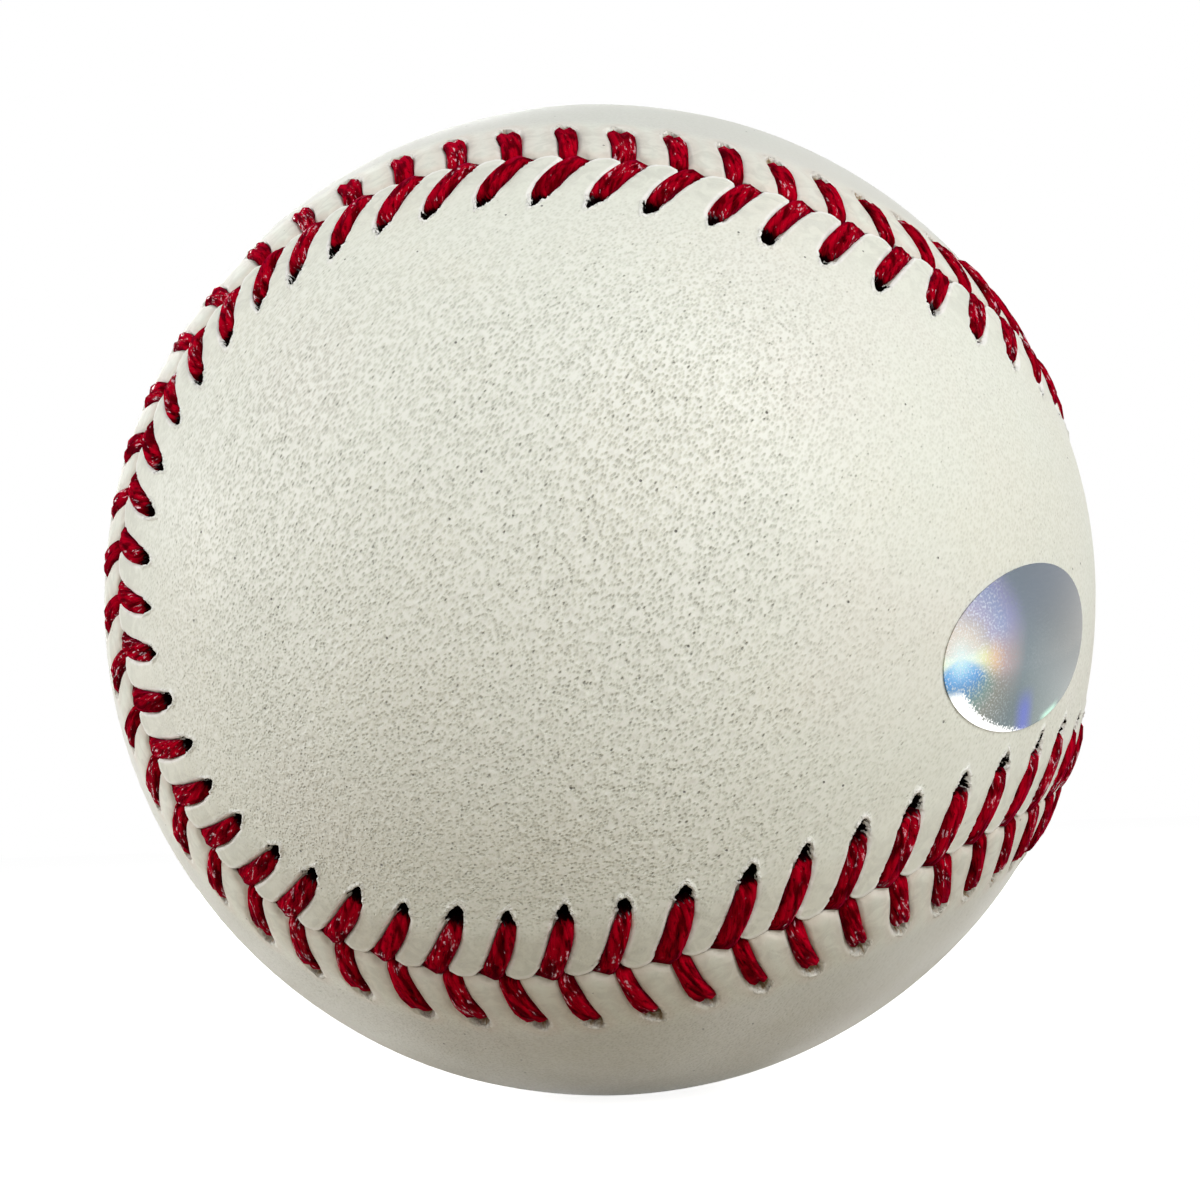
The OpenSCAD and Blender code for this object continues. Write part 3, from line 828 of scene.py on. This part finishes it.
# Moulded rubber: matt, with the faint orange peel and bloom of a pressed part
def rubberMaterial(name, deep, pale):
    rubber = {"deep": deep, "pale": pale, "bloom": 4 * mm, "peel": 0.35 * mm, "relief": 0.05 * mm}
    material, tree, shader, place = startMaterial(name, {"Roughness": 0.62, "IOR": 1.52})
    bloom = addNode(tree, "TexNoise", {"Vector": place, "Scale": 1 / rubber["bloom"], "Detail": 5.0})
    peel = addNode(tree, "TexNoise", {"Vector": place, "Scale": 1 / rubber["peel"], "Detail": 2.0})
    colour = layTones(tree, rubber, "deep", [("pale", (bloom, 0.4, 0.7))])
    finishSurface(tree, shader, colour, 0.3, rubber["relief"], [(1, peel)])
    tree.links.new(shareOf(tree, (bloom, 0.3, 0.7, 0.55, 0.75)).outputs[0], shader.inputs["Roughness"])
    return material


# Wound yarn: turns cross at two angles, with a soft fibrous edge
def windingMaterial(name, deep, pale, turnWidth):
    wool = {
        "deep": deep, "pale": pale, "patches": 7 * mm, "fuzz": 0.25 * mm, "fuzziness": 0.4,
        "relief": 0.3 * turnWidth,
        # how each way of winding is turned, and how much of it each kind of patch has
        "ways": (((0.5, 0.3, 0.0), 1, 0), ((-0.7, 0.9, 0.4), 0, 1)),
    }
    material, tree, shader, place = startMaterial(name, {"Roughness": 0.92, "IOR": 1.45, "Sheen Weight": 0.3})
    over = addNode(tree, "TexNoise", {"Vector": place, "Scale": 1 / wool["patches"], "Detail": 1.0})
    fuzz = addNode(tree, "TexNoise", {"Vector": place, "Scale": 1 / wool["fuzz"], "Detail": 4.0})
    height = addNode(tree, "Math", {0: fuzz, 1: wool["fuzziness"]}, operation="MULTIPLY")
    for angles, *patch in wool["ways"]:
        turned = addNode(tree, "Mapping", {"Vector": place, "Rotation": angles})
        turns = addNode(tree, "TexWave", {"Vector": turned, "Scale": waveStep / turnWidth, "Distortion": 2.0,
                                          "Detail": 2.0}).outputs["Fac"]
        height = addNode(tree, "Math", {0: turns, 1: shareOf(tree, (over, 0.48, 0.52, *patch)), 2: height},
                         operation="MULTIPLY_ADD")
    colour = layTones(tree, wool, "deep", [("pale", height)])
    finishSurface(tree, shader, colour, 0.8, wool["relief"], [(1, height)])
    return material


# Dried rubber cement: a thin amber coat, brushed on and a little tacky
def cementMaterial():
    cement = {"amber": "#C9AE6C", "pale": "#E3D2A0", "brushing": 5 * mm, "relief": 0.1 * mm}
    material, tree, shader, place = startMaterial("rubber_cement", {"Roughness": 0.35, "IOR": 1.5})
    brushed = addNode(tree, "TexNoise", {"Vector": place, "Scale": 1 / cement["brushing"], "Detail": 5.0,
                                         "Distortion": 1.5})
    colour = layTones(tree, cement, "amber", [("pale", brushed)])
    finishSurface(tree, shader, colour, 0.4, cement["relief"], [(1, brushed)])
    return material


blackRubber = rubberMaterial("black_moulded_rubber", "#161618", "#2B2B2E")
redRubber = rubberMaterial("red_moulded_rubber", "#8E2721", "#B5463B")
grayWool = windingMaterial("gray_wool_yarn", "#5E5E5C", "#A3A29E", 1.4 * mm)
finishes = {
    "cork_core": corkMaterial(), "upper_black_shell": blackRubber, "lower_black_shell": blackRubber,
    "red_washer": redRubber, "red_rubber_layer": redRubber, "gray_wool_winding": grayWool,
    "white_wool_winding": windingMaterial("white_wool_yarn", "#B5B0A2", "#EFEBDF", 1.2 * mm),
    "outer_gray_winding": grayWool,
    "finishing_yarn": windingMaterial("finishing_yarn_cotton", "#C4BFB0", "#F4F1E8", 0.6 * mm),
    "cement_coat": cementMaterial(),
}
for node, material in finishes.items():
    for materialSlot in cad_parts[node].material_slots:
        materialSlot.material = material

cowhide, waxedThread, holographic = cowhideMaterial(), threadMaterial(), foilMaterial()
dressed = [(panelA, cowhide, "cowhide", "cover_panel_a"), (panelB, cowhide, "cowhide", "cover_panel_b"),
           (threadA, waxedThread, "waxed_thread", "stitches_panel_a"),
           (threadB, waxedThread, "waxed_thread", "stitches_panel_b"),
           (foil, holographic, "holographic_foil", "foil_sticker")]
for piece, material, slotName, node in dressed:
    piece.data.materials.append(material)
    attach(piece, "root")
    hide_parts(node)
print("finishes given")

# Floor, light and camera
studio = {
    "floorSize": 8, "floorColour": "#A0937D", "white": "#FFFFFF",
    "floorGlow": 0.86,  # with the lamps' light it makes the floor white, and the ball's shadow still shows
    "worldLight": 0.13,
    # place in metres, width in metres, watts
    "lamps": {"key": ((0.28, -0.505, 0.315), 0.5, 3.02), "right": ((0.60, -0.31, 0.10), 0.5, 0.75),
              "left": ((-0.66, 0.0, 0.155), 0.5, 3.0), "front": ((-0.14, -0.60, 0.06), 0.4, 0.3),
              "back": ((-0.10, 0.62, 0.22), 0.5, 2.4)},
}


def showWhite(tree, own, shown, output):  # "own" lights the ball, and camera, mirror and glass see "shown"
    ray = addNode(tree, "LightPath").outputs
    seen = ray["Is Camera Ray"]
    for kind in ("Is Glossy Ray", "Is Transmission Ray"):
        seen = addNode(tree, "Math", {0: seen, 1: ray[kind]}, operation="MAXIMUM")
    addNode(tree, output, {"Surface": addNode(tree, "MixShader", {0: seen, 1: own, 2: shown})})


selectOnly()
bpy.ops.mesh.primitive_plane_add(size=studio["floorSize"], location=(0, 0, -coverRadius))
floor = bpy.context.object
floor.name = "floor"
paleFloor = bpy.data.materials.new("pale_floor")
world = bpy.data.worlds.new("studio")
for block in (paleFloor, world):
    block.use_nodes = True
    block.node_tree.nodes.clear()
floor.data.materials.append(paleFloor)
bpy.context.scene.world = world
floorTree, worldTree = paleFloor.node_tree, world.node_tree
plain, bright = (addNode(floorTree, "BsdfDiffuse", {"Color": hexColour(studio[key])})
                 for key in ("floorColour", "white"))
glow = addNode(floorTree, "Emission", {"Strength": studio["floorGlow"]})
showWhite(floorTree, plain, addNode(floorTree, "AddShader", {0: bright, 1: glow}), "OutputMaterial")
soft, full = (addNode(worldTree, "Background", {"Color": hexColour(studio["white"]), "Strength": strength})
              for strength in (studio["worldLight"], 1.0))
showWhite(worldTree, soft, full, "OutputWorld")

for name, (place, width, watts) in studio["lamps"].items():
    light = bpy.data.lights.new(name, "AREA")
    light.shape = "DISK"
    light.size = width
    light.energy = watts
    lamp = bpy.data.objects.new(name, light)
    lamp.location = place
    lamp.rotation_euler = (-Vector(place)).to_track_quat("-Z", "Y").to_euler()
    bpy.context.scene.collection.objects.link(lamp)

# degrees, and the lens in mm
view = {"distance": 158.07 * mm, "aside": 3.45, "below": 6.32, "roll": 2.02, "lens": 61.5, "clip": 5 * mm}
aside, below = math.radians(view["aside"]), math.radians(view["below"])
camera = bpy.data.objects.new("camera", bpy.data.cameras.new("camera"))
camera.data.lens = view["lens"]
camera.data.clip_start = view["clip"]
camera.location = Vector((-math.sin(aside) * math.cos(below), -math.cos(aside) * math.cos(below),
                          -math.sin(below))) * view["distance"]
aim = (-camera.location).to_track_quat("-Z", "Y").to_matrix()
camera.rotation_euler = (aim @ Matrix.Rotation(math.radians(-view["roll"]), 3, "Z")).to_euler()
bpy.context.scene.collection.objects.link(camera)
bpy.context.scene.camera = camera
bpy.context.scene.view_settings.view_transform = "Standard"
